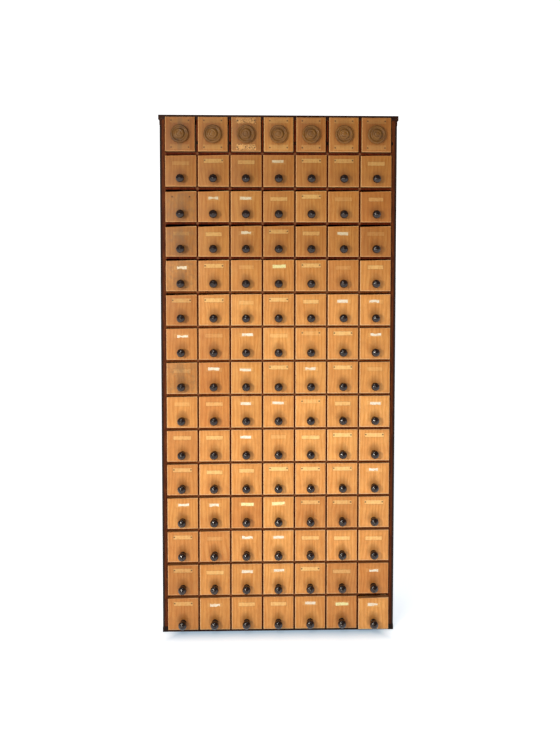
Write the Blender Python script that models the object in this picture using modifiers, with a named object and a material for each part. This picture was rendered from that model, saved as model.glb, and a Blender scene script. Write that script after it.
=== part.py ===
"""Apothecary cabinet: a tall carcass whose lattice of shelves and dividers holds a small drawer in every cell.

Metres, +Z up. The origin is the centre of the carcass underside, and the drawers open towards -Y.
Rows are counted from the top and columns from the left.
"""

import math

import bmesh
import bpy
from mathutils import Matrix, Vector

# The lattice of cells
COLUMNS = 7
ROWS = 15
CELL_WIDTH = 0.116
CELL_HEIGHT = 0.122
DIVIDER_THICKNESS = 0.006
SHELF_THICKNESS = 0.008

# The carcass boards
CARCASS_DEPTH = 0.300
SIDE_THICKNESS = 0.022
TOP_THICKNESS = 0.018
TOP_OVERHANG = 0.0045
BOTTOM_THICKNESS = 0.018
BACK_THICKNESS = 0.006
CHAMFER_WIDTH = 0.006  # along each face of a side board's outer front edge
CHAMFER_STOP = 0.022  # plain edge left at each end of the chamfer

# The drawer fronts
FRONT_THICKNESS = 0.018
FRONT_PROUD = 0.008  # how far a front stands out of the lattice
FRONT_SIDE_GAP = 0.0003
TOP_ROW_SIDE_GAP = 0.003
FRONT_END_GAP = 0.0005  # above and below a front
LIP_GAP = 0.0005  # between a lip and the board edge it covers
TOP_LIP_RISE = 0.009
BOTTOM_LIP_DROP = 0.006

# The drawer boxes behind the fronts
BOX_BACK_ROOM = 0.022  # from a box to the back panel
BOX_TOP_ROOM = 0.017  # from a box's rim to the shelf above, with the gap under it
BOX_WALL = 0.007
BOX_BOTTOM = 0.004
BOX_SIDE_GAP = 0.001
BOX_FLOOR_GAP = 0.0008

# Knobs of rows 2 to 15, and the wide turned pulls of row 1
KNOB_RADIUS = 0.016
KNOB_NECK_RADIUS = 0.0095
KNOB_FOOT_RADIUS = 0.0115
KNOB_LENGTH = 0.033
KNOB_HEIGHT = 0.029  # axis above the drawer front's bottom edge
KNOB_SIDES = 8
SPIGOT_RADIUS = 0.005
SPIGOT_LENGTH = 0.012
PULL_RADIUS = 0.034
PULL_BOSS_RADIUS = 0.018
PULL_LENGTH = 0.024
PULL_SIDES = 12

# How the drawers are grouped and how one of them rests
SINGLE_ROWS = (1, 8, 15)
AJAR_DRAWER = (15, 7)
AJAR = 0.008
TIE_HEIGHT = 0.008
TIE_THICKNESS = 0.006

GAP = 0.0003  # between pieces that touch
OVERLAP = 0.001  # between shapes that are joined into one piece

PITCH_X = CELL_WIDTH + DIVIDER_THICKNESS
PITCH_Z = CELL_HEIGHT + SHELF_THICKNESS
INSIDE_WIDTH = COLUMNS * PITCH_X - DIVIDER_THICKNESS
INSIDE_HEIGHT = ROWS * PITCH_Z - SHELF_THICKNESS
BODY_WIDTH = INSIDE_WIDTH + 2 * SIDE_THICKNESS
SIDE_HEIGHT = BOTTOM_THICKNESS + INSIDE_HEIGHT
FRONT_Y = -CARCASS_DEPTH / 2
BACK_Y = CARCASS_DEPTH / 2
LATTICE_DEPTH = CARCASS_DEPTH - BACK_THICKNESS - GAP
BOX_LENGTH = CARCASS_DEPTH - BACK_THICKNESS - (FRONT_THICKNESS - FRONT_PROUD) - BOX_BACK_ROOM
BOX_HEIGHT = CELL_HEIGHT - BOX_TOP_ROOM

FRAME_WOOD = ("stained_frame_wood", (0.085, 0.030, 0.016), 0.55)
LATTICE_WOOD = ("lattice_wood", (0.120, 0.045, 0.022), 0.60)
DRAWER_WOOD = ("drawer_wood", (0.480, 0.230, 0.085), 0.50)
KNOB_LACQUER = ("dark_knob_lacquer", (0.022, 0.012, 0.009), 0.22)


def clear_scene():
    for obj in list(bpy.data.objects):
        bpy.data.objects.remove(obj, do_unlink=True)


def new_collection(name):
    collection = bpy.data.collections.new(name)
    bpy.context.scene.collection.children.link(collection)
    return collection


def material(finish):
    name, colour, roughness = finish
    found = bpy.data.materials.get(name)
    if found:
        return found
    made = bpy.data.materials.new(name)
    made.use_nodes = True
    shader = made.node_tree.nodes["Principled BSDF"]
    shader.inputs["Base Color"].default_value = (*colour, 1.0)
    shader.inputs["Roughness"].default_value = roughness
    shader.inputs["Metallic"].default_value = 0.0
    made.diffuse_color = (*colour, 1.0)
    return made


def add_part(name, data, finish, place=(0, 0, 0), parent=None):
    """A visible piece of the cabinet."""
    obj = bpy.data.objects.new(name, data)
    PARTS.objects.link(obj)
    obj.location = place
    obj.parent = parent or CABINET
    if not data.materials:
        data.materials.append(material(finish))
    return obj


def add_helper(name, data):
    """A shape that only cuts or joins others."""
    obj = bpy.data.objects.new(name, data)
    HELPERS.objects.link(obj)
    obj.hide_render = True
    obj.display_type = "WIRE"
    return obj


def add_empty(name, place):
    empty = bpy.data.objects.new(name, None)
    PARTS.objects.link(empty)
    empty.location = place
    return empty


def as_mesh(shape, name):
    mesh = bpy.data.meshes.new(name)
    shape.to_mesh(mesh)
    shape.free()
    return mesh


def box_mesh(name, low, high):
    """A box from its lowest to its highest corner."""
    size = Vector(high) - Vector(low)
    middle = (Vector(high) + Vector(low)) / 2
    shape = bmesh.new()
    bmesh.ops.create_cube(shape, size=1, matrix=Matrix.Translation(middle) @ Matrix.Diagonal((*size, 1)))
    return as_mesh(shape, name)


def prism_mesh(name, outline, half_width):
    """An outline of (y, z) points, carried from -half_width to half_width along X."""
    shape = bmesh.new()
    face = shape.faces.new([shape.verts.new((-half_width, y, z)) for y, z in outline])
    grown = bmesh.ops.extrude_face_region(shape, geom=[face])["geom"]
    far_side = [item for item in grown if isinstance(item, bmesh.types.BMVert)]
    bmesh.ops.translate(shape, verts=far_side, vec=(2 * half_width, 0, 0))
    bmesh.ops.recalc_face_normals(shape, faces=shape.faces)
    return as_mesh(shape, name)


def turned_helper(name, profile, sides):
    """A turned shape on the Y axis. Its (radius, distance out of the front) profile starts at the outer tip."""
    mesh = bpy.data.meshes.new(name)
    points = [(radius, 0, out) for radius, out in profile]
    mesh.from_pydata(points, [(i, i + 1) for i in range(len(points) - 1)], [])
    turned = add_helper(name, mesh)
    screw = turned.modifiers.new("turn", "SCREW")
    screw.steps = screw.render_steps = sides
    screw.use_merge_vertices = True
    screw.merge_threshold = 0.0001
    turned.rotation_euler.x = math.pi / 2
    return turned


def join(base, *others, operation="UNION"):
    for other in others:
        boolean = base.modifiers.new(other.name, "BOOLEAN")
        boolean.operation = operation
        boolean.object = other
    return base


def finished_mesh(obj, name):
    """The mesh that an object has in the scene once its modifiers and its place are taken into account."""
    bpy.context.view_layer.update()
    graph = bpy.context.evaluated_depsgraph_get()
    mesh = bpy.data.meshes.new_from_object(obj.evaluated_get(graph))
    mesh.transform(obj.matrix_world)
    mesh.name = name
    return mesh


def flat_board(name, outline, thickness, finish, place, rotation):
    """A board cut to an outline: a filled flat curve with its thickness centred on it."""
    curve = bpy.data.curves.new(name, "CURVE")
    curve.dimensions = "2D"
    curve.fill_mode = "BOTH"
    curve.extrude = thickness / 2
    spline = curve.splines.new("POLY")
    spline.points.add(len(outline) - 1)
    for point, (x, y) in zip(spline.points, outline):
        point.co = (x, y, 0, 1)
    spline.use_cyclic_u = True
    board = add_part(name, curve, finish, place)
    board.rotation_euler = rotation
    return board


def cell_centre_x(column):
    return (column - (COLUMNS + 1) / 2) * PITCH_X


def cell_floor_z(row):
    return BOTTOM_THICKNESS + (ROWS - row) * PITCH_Z


def make_side(name, side):
    """A side board standing on the floor, with a stopped chamfer down its outer front edge."""
    inner, outer = INSIDE_WIDTH / 2, BODY_WIDTH / 2
    low = (min(side * inner, side * outer), FRONT_Y, 0)
    high = (max(side * inner, side * outer), BACK_Y, SIDE_HEIGHT - GAP)
    board = add_part(name, box_mesh(name, low, high), FRAME_WOOD)
    reach = CHAMFER_WIDTH * math.sqrt(2)
    half_length = SIDE_HEIGHT / 2 - CHAMFER_STOP
    cutter = add_helper(
        name + "_chamfer_cutter",
        box_mesh(name + "_chamfer", (-reach / 2, -reach, -half_length), (reach / 2, reach, half_length)),
    )
    cutter.rotation_euler.z = side * math.pi / 4
    cutter.location = (side * outer, FRONT_Y, SIDE_HEIGHT / 2)
    return join(board, cutter, operation="DIFFERENCE")


def make_carcass():
    make_side("left_side", -1)
    make_side("right_side", 1)
    half = INSIDE_WIDTH / 2 - GAP
    cap = BODY_WIDTH / 2 + TOP_OVERHANG
    top = SIDE_HEIGHT + TOP_THICKNESS
    boards = {
        "bottom_board": ((-half, FRONT_Y, 0), (half, BACK_Y, BOTTOM_THICKNESS)),
        "top_board": ((-cap, FRONT_Y, SIDE_HEIGHT), (cap, BACK_Y, top)),
        "back_panel": (
            (-half, BACK_Y - BACK_THICKNESS, BOTTOM_THICKNESS + GAP),
            (half, BACK_Y, SIDE_HEIGHT - GAP),
        ),
    }
    for name, (low, high) in boards.items():
        add_part(name, box_mesh(name, low, high), FRAME_WOOD)


def comb_outline(length, depth, slots, slot_width, slot_depth):
    """A rectangle, centred along its length and starting at depth 0, with slots cut into its depth 0 edge."""
    points = [(-length / 2, 0)]
    for middle in slots:
        left, right = middle - slot_width / 2, middle + slot_width / 2
        points += [(left, 0), (left, slot_depth), (right, slot_depth), (right, 0)]
    return points + [(length / 2, 0), (length / 2, depth), (-length / 2, depth)]


def make_lattice():
    """Shelves slotted from the front and dividers slotted from the back, each halfway, so that they cross-lap."""
    half_lap = (LATTICE_DEPTH + GAP) / 2
    length = INSIDE_WIDTH - 2 * GAP
    slots = [cell_centre_x(i) + PITCH_X / 2 for i in range(1, COLUMNS)]
    outline = comb_outline(length, LATTICE_DEPTH, slots, DIVIDER_THICKNESS + 2 * GAP, half_lap)
    for i in range(1, ROWS):
        middle = cell_floor_z(i) - SHELF_THICKNESS / 2
        flat_board(f"shelf_{i:02d}", outline, SHELF_THICKNESS, LATTICE_WOOD, (0, FRONT_Y, middle), (0, 0, 0))

    height = INSIDE_HEIGHT - 2 * GAP
    middle = BOTTOM_THICKNESS + INSIDE_HEIGHT / 2
    slots = [cell_floor_z(i) - SHELF_THICKNESS / 2 - middle for i in range(1, ROWS)]
    comb = comb_outline(height, LATTICE_DEPTH, sorted(slots), SHELF_THICKNESS + 2 * GAP, half_lap)
    outline = [(length, LATTICE_DEPTH - depth) for length, depth in comb]
    upright = (0, -math.pi / 2, 0)
    for i in range(1, COLUMNS):
        place = (cell_centre_x(i) + PITCH_X / 2, FRONT_Y, middle)
        flat_board(f"divider_{i}", outline, DIVIDER_THICKNESS, LATTICE_WOOD, place, upright)


def front_half_width(row):
    gap = TOP_ROW_SIDE_GAP if row == 1 else FRONT_SIDE_GAP
    return CELL_WIDTH / 2 - gap


def front_bottom(row):
    return -BOTTOM_LIP_DROP if row == ROWS else FRONT_END_GAP


def front_top(row):
    return CELL_HEIGHT + (TOP_LIP_RISE if row == 1 else -FRONT_END_GAP)


def front_mesh(name, row):
    """A drawer front. The top row's has a lip up over the top board, the bottom row's one down over the bottom."""
    face, back, lip = -FRONT_PROUD, FRONT_THICKNESS - FRONT_PROUD, -LIP_GAP
    low, high = FRONT_END_GAP, CELL_HEIGHT - FRONT_END_GAP
    outline = [(face, front_bottom(row))]
    if row == ROWS:
        outline += [(lip, front_bottom(row)), (lip, low)]
    outline += [(back, low), (back, high)]
    if row == 1:
        outline += [(lip, high), (lip, front_top(row))]
    outline.append((face, front_top(row)))
    return prism_mesh(name, outline, front_half_width(row))


def tray_mesh(name, start):
    """The open box behind a front, from y = start to its back wall."""
    half = CELL_WIDTH / 2 - BOX_SIDE_GAP
    end = FRONT_THICKNESS - FRONT_PROUD + BOX_LENGTH
    mesh = box_mesh(name, (-half, start, BOX_FLOOR_GAP), (half, end, BOX_FLOOR_GAP + BOX_HEIGHT))
    shape = bmesh.new()
    shape.from_mesh(mesh)
    shape.faces.ensure_lookup_table()
    top = max(shape.faces, key=lambda face: face.calc_center_median().z)
    bmesh.ops.inset_region(shape, faces=[top], thickness=BOX_WALL, use_even_offset=True)
    floor = bmesh.ops.extrude_discrete_faces(shape, faces=[top])["faces"][0]
    bmesh.ops.translate(shape, verts=floor.verts, vec=(0, 0, BOX_BOTTOM - BOX_HEIGHT))
    shape.to_mesh(mesh)
    shape.free()
    return mesh


def knob_profile(root):
    """Radius and distance out of the front, from the tip down to the root."""
    return [
        (0, KNOB_LENGTH),
        (0.80 * KNOB_RADIUS, 0.90 * KNOB_LENGTH),
        (KNOB_RADIUS, 0.56 * KNOB_LENGTH),
        (KNOB_NECK_RADIUS, 0.27 * KNOB_LENGTH),
        *root,
    ]


def pull_profile():
    """A disc with a rounded rim, a hollowed ring and a boss in its middle."""
    cove = (PULL_RADIUS + PULL_BOSS_RADIUS) / 2
    return [
        (0, PULL_LENGTH),
        (PULL_BOSS_RADIUS, 0.80 * PULL_LENGTH),
        (cove, 0.45 * PULL_LENGTH),
        (0.95 * PULL_RADIUS, 0.70 * PULL_LENGTH),
        (PULL_RADIUS, 0.30 * PULL_LENGTH),
        (0.80 * PULL_RADIUS, -OVERLAP),
        (0, -OVERLAP),
    ]


def handle_helper(name, row, root=None):
    """A knob, or a pull in the top row, in its place on a drawer front."""
    if row == 1:
        handle = turned_helper(name, pull_profile(), PULL_SIDES)
        height = (front_bottom(row) + front_top(row)) / 2
    else:
        root = root or [(KNOB_FOOT_RADIUS, -OVERLAP), (0, -OVERLAP)]
        handle = turned_helper(name, knob_profile(root), KNOB_SIDES)
        height = front_bottom(row) + KNOB_HEIGHT
    handle.location = (0, -FRONT_PROUD, height)
    return handle


def drawer_mesh(row):
    """Front, box and handle joined into one solid, with the origin on the cell's floor at the lattice's front."""
    name = f"drawer_like_row_{row:02d}"
    pattern = add_helper(name, front_mesh(name, row))
    inside_front = FRONT_THICKNESS - FRONT_PROUD - BOX_WALL - OVERLAP
    tray = add_helper(name + "_tray", tray_mesh(name + "_tray", inside_front))
    return finished_mesh(join(pattern, tray, handle_helper(name + "_handle", row)), name)


def bank_mesh(single):
    """A row of drawers joined into one solid by a thin tie behind their faces, in front of the dividers."""
    shape = bmesh.new()
    for column in range(1, COLUMNS + 1):
        shape.from_mesh(single)
        added = shape.verts[-len(single.vertices):]
        bmesh.ops.translate(shape, verts=added, vec=(cell_centre_x(column), 0, 0))
    bank = add_helper("drawer_bank", as_mesh(shape, "drawer_bank"))
    end = cell_centre_x(COLUMNS)
    middle = CELL_HEIGHT / 2
    tie = box_mesh(
        "bank_tie",
        (-end, -LIP_GAP - TIE_THICKNESS, middle - TIE_HEIGHT / 2),
        (end, -LIP_GAP, middle + TIE_HEIGHT / 2),
    )
    return finished_mesh(join(bank, add_helper("bank_tie", tie)), "drawer_bank")


def make_ajar_drawer(row, column):
    """The drawer that rests a little open, built as its separate box, front and knob."""
    name = f"drawer_r{row:02d}_c{column}"
    slide = add_empty(name + "_slide", (cell_centre_x(column), FRONT_Y - AJAR, cell_floor_z(row)))
    start = FRONT_THICKNESS - FRONT_PROUD + GAP
    add_part(name + "_box", tray_mesh(name + "_box", start), DRAWER_WOOD, parent=slide)

    front = add_part(name + "_front", front_mesh(name + "_front", row), DRAWER_WOOD, parent=slide)
    root = [
        (KNOB_FOOT_RADIUS, GAP),
        (SPIGOT_RADIUS, GAP),
        (SPIGOT_RADIUS, -SPIGOT_LENGTH),
        (0, -SPIGOT_LENGTH),
    ]
    knob_shape = handle_helper(name + "_knob_shape", row, root)
    add_part(name + "_knob", finished_mesh(knob_shape, name + "_knob"), KNOB_LACQUER, parent=slide)

    hole_radius, hole_depth = SPIGOT_RADIUS + GAP, SPIGOT_LENGTH + GAP
    hole_profile = [(0, OVERLAP), (hole_radius, OVERLAP), (hole_radius, -hole_depth), (0, -hole_depth)]
    hole = turned_helper(name + "_spigot_hole_cutter", hole_profile, KNOB_SIDES)
    hole.location = knob_shape.location
    hole.parent = slide
    join(front, hole, operation="DIFFERENCE")


def make_drawers():
    middle_drawer = drawer_mesh(2)
    meshes = {1: drawer_mesh(1), ROWS: drawer_mesh(ROWS)}
    bank = bank_mesh(middle_drawer)
    for row in range(1, ROWS + 1):
        if row not in SINGLE_ROWS:
            place = (0, FRONT_Y, cell_floor_z(row))
            add_part(f"drawer_row_{row:02d}", bank, DRAWER_WOOD, place)
            continue
        for column in range(1, COLUMNS + 1):
            if (row, column) == AJAR_DRAWER:
                make_ajar_drawer(row, column)
                continue
            place = (cell_centre_x(column), FRONT_Y, cell_floor_z(row))
            mesh = meshes.get(row, middle_drawer)
            add_part(f"drawer_r{row:02d}_c{column}", mesh, DRAWER_WOOD, place)


clear_scene()
PARTS = new_collection("apothecary_cabinet")
HELPERS = new_collection("cutters")
CABINET = add_empty("cabinet", (0, 0, 0))
make_carcass()
make_lattice()
make_drawers()
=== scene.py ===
"""Apothecary cabinet: the worn finish of its carcass, lattice, drawers, knobs, pulls and paper labels."""

import math
import random

import bmesh
import bpy
from mathutils import Matrix, Vector


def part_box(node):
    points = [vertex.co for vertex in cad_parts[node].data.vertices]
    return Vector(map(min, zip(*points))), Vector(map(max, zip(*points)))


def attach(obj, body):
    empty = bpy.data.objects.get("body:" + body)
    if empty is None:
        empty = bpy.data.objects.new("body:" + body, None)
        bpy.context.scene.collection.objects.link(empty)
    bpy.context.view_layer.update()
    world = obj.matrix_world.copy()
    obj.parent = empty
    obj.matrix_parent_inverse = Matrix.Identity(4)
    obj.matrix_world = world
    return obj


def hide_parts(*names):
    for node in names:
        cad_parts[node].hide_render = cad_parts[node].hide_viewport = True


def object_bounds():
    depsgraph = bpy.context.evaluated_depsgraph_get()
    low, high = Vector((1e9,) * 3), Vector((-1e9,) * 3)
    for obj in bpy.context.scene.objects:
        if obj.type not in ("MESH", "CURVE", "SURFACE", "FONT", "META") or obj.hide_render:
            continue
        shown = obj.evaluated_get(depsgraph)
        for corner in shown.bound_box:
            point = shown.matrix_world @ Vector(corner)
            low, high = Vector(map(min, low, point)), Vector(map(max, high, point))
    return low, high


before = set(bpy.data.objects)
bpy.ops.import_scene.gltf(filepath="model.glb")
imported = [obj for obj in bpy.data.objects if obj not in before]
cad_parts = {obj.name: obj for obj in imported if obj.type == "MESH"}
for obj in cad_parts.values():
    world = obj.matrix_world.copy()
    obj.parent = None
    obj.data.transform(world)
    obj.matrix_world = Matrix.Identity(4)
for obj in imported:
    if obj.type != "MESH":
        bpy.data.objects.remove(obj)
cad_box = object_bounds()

# Rows are counted from the top and columns from the left, both from 1
COLUMNS = 7
ROWS = 15
SINGLE_ROWS = (1, 8, 15)
AJAR_DRAWER = (15, 7)
AJAR = 0.008
AJAR_DROP = 0.004  # how far its top edge hangs lower
TOP_ROW_SHIFTS = (-0.0026, -0.0024, 0.0, -0.0008, -0.0014, 0.0, 0.0)  # how the top fronts sit in their wider gaps

# Drawer fronts, as the solids have them
FRONT_THICKNESS = 0.018
FRONT_PROUD = 0.008
FRONT_SIDE_GAP = 0.0003
TOP_ROW_SIDE_GAP = 0.003
FRONT_END_GAP = 0.0005
LIP_GAP = 0.0005
TOP_LIP_RISE = 0.009
BOTTOM_LIP_DROP = 0.006
FRONT_EDGE_ROUND = 0.0016

# Drawer boxes
TRAY_LENGTH = 0.262
TRAY_HEIGHT = 0.105
TRAY_WALL = 0.007
TRAY_BOTTOM = 0.004
TRAY_SIDE_GAP = 0.001
TRAY_FLOOR_GAP = 0.0008
TRAY_EDGE_ROUND = 0.0008
SLOT_SHADE_REACH = 0.008  # how far the painted shade reaches in behind a front

# Handles
KNOB_HEIGHT = 0.029
KNOB_SIDES = 28
PULL_SIDES = 48

# Catch holes in the top row's dividers and in the right side, above that row's floor
CATCH_DIVIDERS = (1, 2, 4, 5)
CATCH_HEIGHT = 0.036
CATCH_INSET = 0.004  # from the right side's inner face
CATCH_SIDES = 16

# Carcass boards
CHAMFER_STOP = 0.022  # plain edge left at each end of a side's chamfer
CHAMFER_WIDTH = 0.006
BOARD_EDGE_ROUND = 0.0012
BOTTOM_EDGE_ROUND = 0.0008
BACK_EDGE_ROUND = 0.0005
BAND_WIDTH = 0.0095  # the darker strip on the front edge of a side, from its outer face
BAND_DEPTH = 0.008

TINY = 1e-6  # how near two points count as one

# Light: the backdrop behind, the room in front, and the glow that keeps the floor near white
BACKDROP_LIGHT = 1.2
ROOM_LIGHT = 0.14
FLOOR_GLOW = 0.80
FLOOR_REACH = 30
LAMP_SIZE = 0.4
PAINTED_SHADOW_INSET = (0.085, 0.005)  # how far inside the cabinet's outline the painted shadow round its foot starts, in x and y
PAINTED_SHADOW_FADE = (-0.01, 0.085)  # where the painted shadow is full and where it is gone, out from there

# Camera, at eye height: its lens in mm, its shift, and its turn from level and straight on in radians
CAMERA_LENS = 30
CAMERA_SHIFT = (-0.0129, -0.1327)
CAMERA_PLACE = (-0.0093, -2.5007, 1.4794)
CAMERA_TURN = (-0.0410, -0.0014, -0.0215)

# The trace on each front: H nail holes only, N a label holder's pale shadow with its two nail holes,
# P a pale patch, W a paper label, Y a yellowed one. Lower case is a fainter or more torn one.
TRACES = (
    "NNNNNNN",
    "pNPWNNP",
    "HwWPNpP",
    "pPwNPWp",
    "wNpYNpP",
    "NNpNPWw",
    "wpWpnNw",
    "pWWNwNp",
    "pPWWnPW",
    "PPWpPNN",
    "NPPNNNw",
    "wwYYNNN",
    "NpwWPPP",
    "NPWWNPw",
    "NwPPWYw",
)

# The tone of each front: . as its row, r redder, d darker, D darkest, l lighter, g greyed by dirt
TONES = (
    "D.gld.d",
    ".......",
    "g.l.l.r",
    "gl....d",
    "g....d.",
    "D.l....",
    "dd.l...",
    "grl.l..",
    ".r..l.l",
    "d...ll.",
    "d..l...",
    "..rldd.",
    "dd.l...",
    "D..l.Dr",
    "d....dl",
)

# Sizes of the traces, and how far below a front's top edge their middles are
HOLDER_HALF_WIDTH = 0.036
NAIL_SPREAD = 0.0325  # from the middle to each nail hole
NAIL_DROP = 0.020
HOLDER_DROP = 0.021
PAPER_DROP = 0.027
PATCH_DROP = 0.029
PLATE_DROP = 0.013  # the upper one of the two plates that each front of the top row had
PLATE_RISE = 0.016  # the lower one, above the bottom edge
PLATE_HALF_HEIGHT = 0.009
PLATE_PALENESS = 0.42
NO_PATCH = (0.0, 0.0, 0.0, 0.0)

# Radius of the hand dirt round a knob, round a pull, and round the knob of a greyed front
KNOB_DIRT = 0.0165
PULL_DIRT = 0.032
GREY_DIRT = 0.020

# How much lower the top edge of a front lies than its cell allows, by row and by column, and how much higher
# its bottom edge lies, by row
TOP_TRIMS = (0, 0.0005, 0.0045, 0.0055, 0.003, 0.0025, 0, 0, 0, 0, 0.0003, 0.0008, 0.0012, 0.0012, 0.0012)
COLUMN_TRIMS = (0.0028, 0.0018, 0.0004, 0.0, 0.0, 0.0005, 0.0012)
BOTTOM_TRIMS = (0.003, 0.002) + (0.0,) * 13

# How light each row is: painted shade, darkest in the top rows and lightest in the middle, where the light falls most
ROW_LIGHTNESS = (0.49, 0.46, 0.57, 0.55, 0.75, 0.89, 0.90, 0.88, 0.97, 1.01, 1.04, 0.98, 1.02, 0.92, 0.92)
COLUMN_LIGHTNESS = (0.92, 0.95, 0.98, 1.0, 1.03, 1.05, 1.06)
BROWNING = (0.85, 1.0, 1.5)  # how much faster the blue goes than the red as a front's lightness falls, painted row shade included
TONE_COLOURS = {
    ".": (1.0, 1.0, 1.0),
    "r": (0.87, 0.77, 0.68),
    "d": (0.86, 0.80, 0.76),
    "D": (0.77, 0.70, 0.64),
    "l": (1.08, 1.13, 1.18),
    "g": (0.86, 0.87, 0.92),
}


# ---------------------------------------------------------------- the lattice, read from the frame


class Cell:
    """One cell of the lattice: the box that a drawer fills, open at front_y."""

    def __init__(self, row, column, low_x, high_x, low_z, high_z, front_y):
        self.row, self.column = row, column
        self.low_x, self.high_x, self.low_z, self.high_z = low_x, high_x, low_z, high_z
        self.front_y = front_y
        self.middle_x = (low_x + high_x) / 2
        self.front_x = self.middle_x + (TOP_ROW_SHIFTS[column - 1] if row == 1 else 0)
        self.name = f"r{row:02d}_c{column}"
        self.random = random.Random(row * 100 + column)

    @property
    def top_trims(self):
        """How much the left and the right end of a front's top edge lie below the cell's top."""
        trim = TOP_TRIMS[self.row - 1]
        if (self.row, self.column) == AJAR_DRAWER:
            trim += AJAR_DROP
        elif self.row > 1:
            trim += COLUMN_TRIMS[self.column - 1]
        slope = 0.25 * trim + 0.0002 * (self.column % 3)
        return (trim + slope, max(trim - slope, 0.0))

    @property
    def body(self):
        if self.row in SINGLE_ROWS:
            return f"drawer_{self.name}"
        return f"drawer_row_{self.row:02d}"

    @property
    def rest_y(self):
        """How deep this drawer's own plane rests: the lattice's front plane, or further out for the one left ajar."""
        return self.front_y - (AJAR if (self.row, self.column) == AJAR_DRAWER else 0)


def read_cells():
    dividers = [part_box(f"divider_{i}") for i in range(1, COLUMNS)]
    shelves = [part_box(f"shelf_{i:02d}") for i in range(1, ROWS)]
    lefts = [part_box("left_side")[1].x] + [high.x for low, high in dividers]
    rights = [low.x for low, high in dividers] + [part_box("right_side")[0].x]
    floors = [high.z for low, high in shelves] + [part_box("bottom_board")[1].z]
    ceilings = [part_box("top_board")[0].z] + [low.z for low, high in shelves]
    front_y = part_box("shelf_01")[0].y
    return [
        Cell(row + 1, column + 1, lefts[column], rights[column], floors[row], ceilings[row], front_y)
        for row in range(ROWS)
        for column in range(COLUMNS)
    ]


# ---------------------------------------------------------------- shaping


def new_piece(name, shape, *materials, smooth_angle=None):
    """Ends a bmesh as a piece of the cabinet."""
    mesh = bpy.data.meshes.new(name)
    shape.to_mesh(mesh)
    shape.free()
    piece = bpy.data.objects.new(name, mesh)
    bpy.context.scene.collection.objects.link(piece)
    for material in materials:
        mesh.materials.append(material)
    if smooth_angle is not None:
        mesh.shade_smooth()
        mesh.set_sharp_from_angle(angle=math.radians(smooth_angle))
    return piece


def block(low, high):
    shape = bmesh.new()
    size, middle = Vector(high) - Vector(low), (Vector(high) + Vector(low)) / 2
    bmesh.ops.create_cube(shape, size=1, matrix=Matrix.Translation(middle) @ Matrix.Diagonal((*size, 1)))
    return shape


def joined(shapes):
    """One bmesh that holds several."""
    whole = bmesh.new()
    for shape in shapes:
        mesh = bpy.data.meshes.new("joined")
        shape.to_mesh(mesh)
        shape.free()
        whole.from_mesh(mesh)
        bpy.data.meshes.remove(mesh)
    return whole


def round_edges(shape, edges, width, segments):
    bmesh.ops.bevel(
        shape, geom=list(edges), offset=width, segments=segments, profile=0.5, affect="EDGES", material=-1
    )


def rounded_block(low, high, width):
    shape = block(low, high)
    round_edges(shape, shape.edges, width, 2)
    return shape


def turned(profile, sides, tip):
    """A turned shape on an axis along -Y through tip's x and z. The profile is (radius, distance from tip.y)."""
    shape = bmesh.new()
    points = [shape.verts.new((tip.x + radius, tip.y - out, tip.z)) for radius, out in profile]
    edges = [shape.edges.new(pair) for pair in zip(points, points[1:])]
    bmesh.ops.spin(
        shape, geom=points + edges, cent=tip, axis=(0, 1, 0), angle=2 * math.pi, steps=sides, use_merge=True
    )
    bmesh.ops.remove_doubles(shape, verts=shape.verts, dist=TINY)
    bmesh.ops.recalc_face_normals(shape, faces=shape.faces)
    return shape


def arc(centre, radii, start, end, steps):
    """Points on an ellipse, as (radius, out), from one angle to another in degrees."""
    angles = [math.radians(start + (end - start) * i / steps) for i in range(steps + 1)]
    return [(centre[0] + radii[0] * math.cos(a), centre[1] + radii[1] * math.sin(a)) for a in angles]


def mark(piece, **values):
    """Stores named values on every point of a piece, for its material to read. The last of four is kept as alpha."""
    for name, value in values.items():
        kind, field = ("FLOAT_COLOR", "color") if len(value) == 4 else ("FLOAT_VECTOR", "vector")
        attribute = piece.data.attributes.new(name, kind, "POINT")
        attribute.data.foreach_set(field, list(value) * len(piece.data.vertices))


# ---------------------------------------------------------------- node building


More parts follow.
